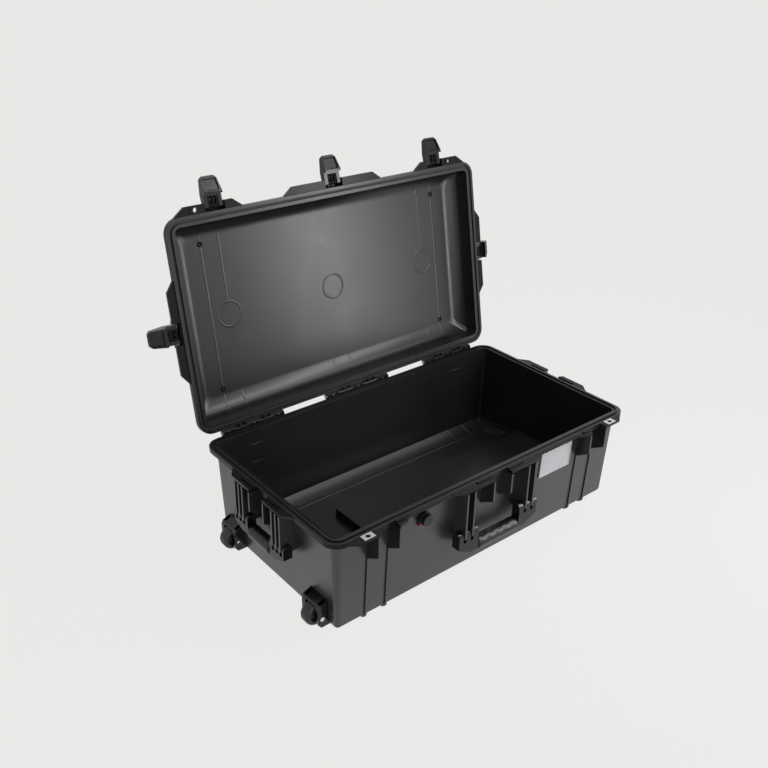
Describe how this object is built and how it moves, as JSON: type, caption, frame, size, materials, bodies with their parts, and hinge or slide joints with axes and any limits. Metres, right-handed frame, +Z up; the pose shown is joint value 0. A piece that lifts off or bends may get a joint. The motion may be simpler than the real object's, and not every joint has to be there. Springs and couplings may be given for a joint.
{
  "type": "wheeled protective case",
  "caption": "Wheeled hard transit case with hinged lid, hook latches with press triggers, folding carry handles, padlock eyes and a pull-out trolley handle.",
  "frame": {"origin": "centre of the base's flat underside, on the pull handle's cover plate", "axes": "+X along the length from the wheel end to the pull-handle end, -Y towards the front latches, +Y towards the hinge, +Z up"},
  "size_m": [0.9171, 0.5934, 0.7142],
  "materials": {
    "black_polymer": "fine moulded texture, satin black",
    "grip_rubber": "overmoulded soft grip",
    "seal_rubber": "solid elastomer cord",
    "stainless_steel": "plain stainless",
    "aluminium_tube": "clear anodised",
    "wheel_polyurethane": "dark polyurethane tread",
    "grey_nylon": "dark grey moulded nylon",
    "red_rubber": "red sealing ring",
    "clear_grey_plastic": "translucent light grey tray",
    "blank_card": "blank off-white card"
  },
  "bodies": {
    "base": {"base_shell": "black_polymer", "purge_valve_body": "black_polymer", "purge_valve_seal": "red_rubber", "card_holder": "clear_grey_plastic", "name_card": "blank_card", "padlock_plate_base_left": "stainless_steel", "padlock_plate_base_right": "stainless_steel", "wheel_housing_front": "black_polymer", "wheel_housing_rear": "black_polymer", "axle_front": "stainless_steel", "axle_rear": "stainless_steel", "trolley_guide_left": "aluminium_tube", "trolley_guide_right": "aluminium_tube", "trolley_cover": "black_polymer", "hinge_pin_left": "stainless_steel", "hinge_pin_centre": "stainless_steel", "hinge_pin_right": "stainless_steel", "front_handle_pin_left": "stainless_steel", "front_handle_pin_right": "stainless_steel", "end_handle_pin_left": "stainless_steel", "end_handle_pin_right": "stainless_steel"},
    "lid": {"lid_shell": "black_polymer", "lid_seal": "seal_rubber", "latch_pin_front_left": "stainless_steel", "latch_pin_front_centre": "stainless_steel", "latch_pin_front_right": "stainless_steel", "latch_pin_wheel_end": "stainless_steel", "latch_pin_trolley_end": "stainless_steel"},
    "front_handle": {"front_handle_frame": "black_polymer", "front_handle_grip": "grip_rubber"},
    "end_handle": {"end_handle_frame": "black_polymer", "end_handle_grip": "grip_rubber"},
    "wheel_front": {"wheel_hub_front": "grey_nylon", "wheel_tyre_front": "wheel_polyurethane"},
    "wheel_rear": {"wheel_hub_rear": "grey_nylon", "wheel_tyre_rear": "wheel_polyurethane"},
    "trolley": {"trolley_tube_left": "aluminium_tube", "trolley_tube_right": "aluminium_tube", "trolley_grip": "black_polymer"},
    "trolley_button": {"trolley_button": "grey_nylon"},
    "latch_front_left": {"latch_front_left": "black_polymer"},
    "latch_trigger_front_left": {"latch_trigger_front_left": "black_polymer"},
    "latch_front_centre": {"latch_front_centre": "black_polymer"},
    "latch_trigger_front_centre": {"latch_trigger_front_centre": "black_polymer"},
    "latch_front_right": {"latch_front_right": "black_polymer"},
    "latch_trigger_front_right": {"latch_trigger_front_right": "black_polymer"},
    "latch_wheel_end": {"latch_wheel_end": "black_polymer"},
    "latch_trigger_wheel_end": {"latch_trigger_wheel_end": "black_polymer"},
    "latch_trolley_end": {"latch_trolley_end": "black_polymer"},
    "latch_trigger_trolley_end": {"latch_trigger_trolley_end": "black_polymer"}
  },
  "joints": [
    {"name": "lid_hinge", "type": "hinge", "parent": "base", "child": "lid", "pos_m": [0, 0.2253, 0.2082], "axis": [-1, 0, 0], "range_deg": [-100.2, 0]},
    {"name": "front_handle_hinge", "type": "hinge", "parent": "base", "child": "front_handle", "pos_m": [0, -0.2225, 0.101], "axis": [-1, 0, 0], "range_deg": [0, 95]},
    {"name": "end_handle_hinge", "type": "hinge", "parent": "base", "child": "end_handle", "pos_m": [-0.399, 0, 0.125], "axis": [0, 1, 0], "range_deg": [0, 95]},
    {"name": "wheel_front_spin", "type": "hinge", "parent": "base", "child": "wheel_front", "pos_m": [-0.38577, -0.144, 0.0164], "axis": [0, 1, 0], "continuous": true},
    {"name": "wheel_rear_spin", "type": "hinge", "parent": "base", "child": "wheel_rear", "pos_m": [-0.38577, 0.144, 0.0164], "axis": [0, 1, 0], "continuous": true},
    {"name": "trolley_slide", "type": "slide", "parent": "base", "child": "trolley", "axis": [1, 0, 0], "range_m": [0, 0.42]},
    {"name": "trolley_button_press", "type": "slide", "parent": "trolley", "child": "trolley_button", "axis": [-1, 0, 0], "range_m": [0, 0.003], "stiffness_N_per_m": 900},
    {"name": "latch_front_left_hinge", "type": "hinge", "parent": "lid", "child": "latch_front_left", "pos_m": [-0.283, 0.31632, 0.65139], "axis": [-1, 0, 0], "range_deg": [-92, 48]},
    {"name": "latch_front_centre_hinge", "type": "hinge", "parent": "lid", "child": "latch_front_centre", "pos_m": [0, 0.31632, 0.65139], "axis": [-1, 0, 0], "range_deg": [-92, 48]},
    {"name": "latch_front_right_hinge", "type": "hinge", "parent": "lid", "child": "latch_front_right", "pos_m": [0.283, 0.31632, 0.65139], "axis": [-1, 0, 0], "range_deg": [-92, 48]},
    {"name": "latch_wheel_end_hinge", "type": "hinge", "parent": "lid", "child": "latch_wheel_end", "pos_m": [-0.4035, 0.27612, 0.42797], "axis": [0, -0.1771, -0.9842], "range_deg": [-93, 47]},
    {"name": "latch_trolley_end_hinge", "type": "hinge", "parent": "lid", "child": "latch_trolley_end", "pos_m": [0.4035, 0.27612, 0.42797], "axis": [0, 0.1771, 0.9842], "range_deg": [-108, 32]},
    {"name": "latch_trigger_front_left_press", "type": "slide", "parent": "latch_front_left", "child": "latch_trigger_front_left", "axis": [0, -0.9774, 0.2113], "range_m": [0, 0.003], "stiffness_N_per_m": 800},
    {"name": "latch_trigger_front_centre_press", "type": "slide", "parent": "latch_front_centre", "child": "latch_trigger_front_centre", "axis": [0, -0.9774, 0.2113], "range_m": [0, 0.003], "stiffness_N_per_m": 800},
    {"name": "latch_trigger_front_right_press", "type": "slide", "parent": "latch_front_right", "child": "latch_trigger_front_right", "axis": [0, -0.9774, 0.2113], "range_m": [0, 0.003], "stiffness_N_per_m": 800},
    {"name": "latch_trigger_wheel_end_press", "type": "slide", "parent": "latch_wheel_end", "child": "latch_trigger_wheel_end", "axis": [-0.0523, -0.9828, 0.1768], "range_m": [0, 0.003], "stiffness_N_per_m": 800},
    {"name": "latch_trigger_trolley_end_press", "type": "slide", "parent": "latch_trolley_end", "child": "latch_trigger_trolley_end", "axis": [0.309, -0.936, 0.1684], "range_m": [0, 0.003], "stiffness_N_per_m": 800}
  ]
}
